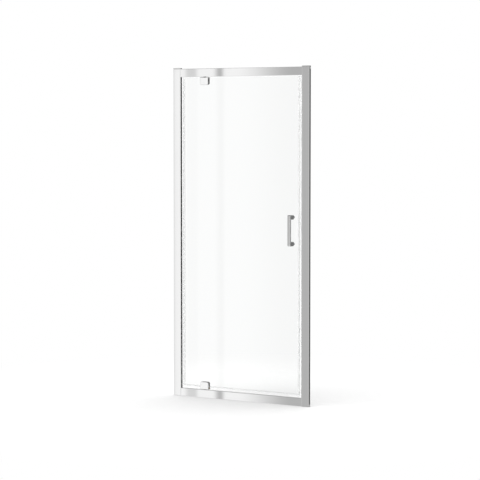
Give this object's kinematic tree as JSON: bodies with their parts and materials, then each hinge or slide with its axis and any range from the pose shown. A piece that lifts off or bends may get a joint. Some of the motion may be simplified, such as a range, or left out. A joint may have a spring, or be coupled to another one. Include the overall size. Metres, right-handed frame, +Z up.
{
  "type": "pivot shower door",
  "caption": "Framed pivot shower door: a clear glass pane on top and bottom pivots in a polished frame, with a chrome D handle and wall channels that adjust for width.",
  "frame": {"origin": "middle of the sill rail's underside, where the door stands on the shower tray", "axes": "+X across the doorway towards the handle side, +Y into the shower, +Z up"},
  "size_m": [0.9, 0.0582, 1.9],
  "materials": {
    "polished_frame": "bright polished aluminium extrusion",
    "plated_cap": "chrome-plated moulded cap",
    "chrome": "bright chrome plate",
    "brass": "machined brass",
    "steel": "stainless steel",
    "glass": "clear toughened safety glass",
    "clear_seal": "clear flexible PVC",
    "magnet": "white magnetic rubber strip",
    "nylon": "dark grey nylon",
    "gasket_rubber": "grey rubber gasket"
  },
  "bodies": {
    "left_channel": {"left_wall_channel": "polished_frame"},
    "frame": {"left_post": "polished_frame", "right_post": "polished_frame", "left_top_cap": "plated_cap", "right_top_cap": "plated_cap", "left_foot_cap": "plated_cap", "right_foot_cap": "plated_cap", "head_rail": "polished_frame", "sill_rail": "polished_frame", "head_rail_screws": "steel", "sill_rail_screws": "steel", "left_clamp_screws": "steel", "left_clamp_nuts": "steel", "right_clamp_screws": "steel", "right_clamp_nuts": "steel", "strike_strip": "clear_seal", "strike_magnet": "magnet", "upper_bush": "nylon", "lower_bush": "nylon"},
    "right_channel": {"right_wall_channel": "polished_frame"},
    "door": {"upper_pivot_cover": "chrome", "lower_pivot_cover": "chrome", "upper_pivot_back_plate": "chrome", "lower_pivot_back_plate": "chrome", "door_handle": "chrome", "handle_rosettes": "chrome", "handle_buttons": "chrome", "upper_pivot_core": "brass", "lower_pivot_core": "brass", "upper_pivot_screws": "steel", "lower_pivot_screws": "steel", "upper_pivot_pin": "steel", "lower_pivot_pin": "steel", "handle_screws": "steel", "glass_panel": "glass", "side_seal": "clear_seal", "closing_seal": "clear_seal", "left_drip_seal": "clear_seal", "right_drip_seal": "clear_seal", "handle_glass_washers": "clear_seal", "closing_magnet": "magnet", "upper_pivot_washer": "nylon", "lower_pivot_washer": "nylon", "handle_sleeves": "nylon", "upper_pivot_gaskets": "gasket_rubber", "lower_pivot_gaskets": "gasket_rubber"}
  },
  "joints": [
    {"name": "left_width_adjustment", "type": "slide", "parent": "left_channel", "child": "frame", "axis": [1, 0, 0], "range_m": [0, 0.02]},
    {"name": "right_width_adjustment", "type": "slide", "parent": "frame", "child": "right_channel", "axis": [1, 0, 0], "range_m": [0, 0.02]},
    {"name": "door_swing", "type": "hinge", "parent": "frame", "child": "door", "pos_m": [-0.24, 0, 0.95], "axis": [0, 0, -1], "range_deg": [0, 100]}
  ]
}
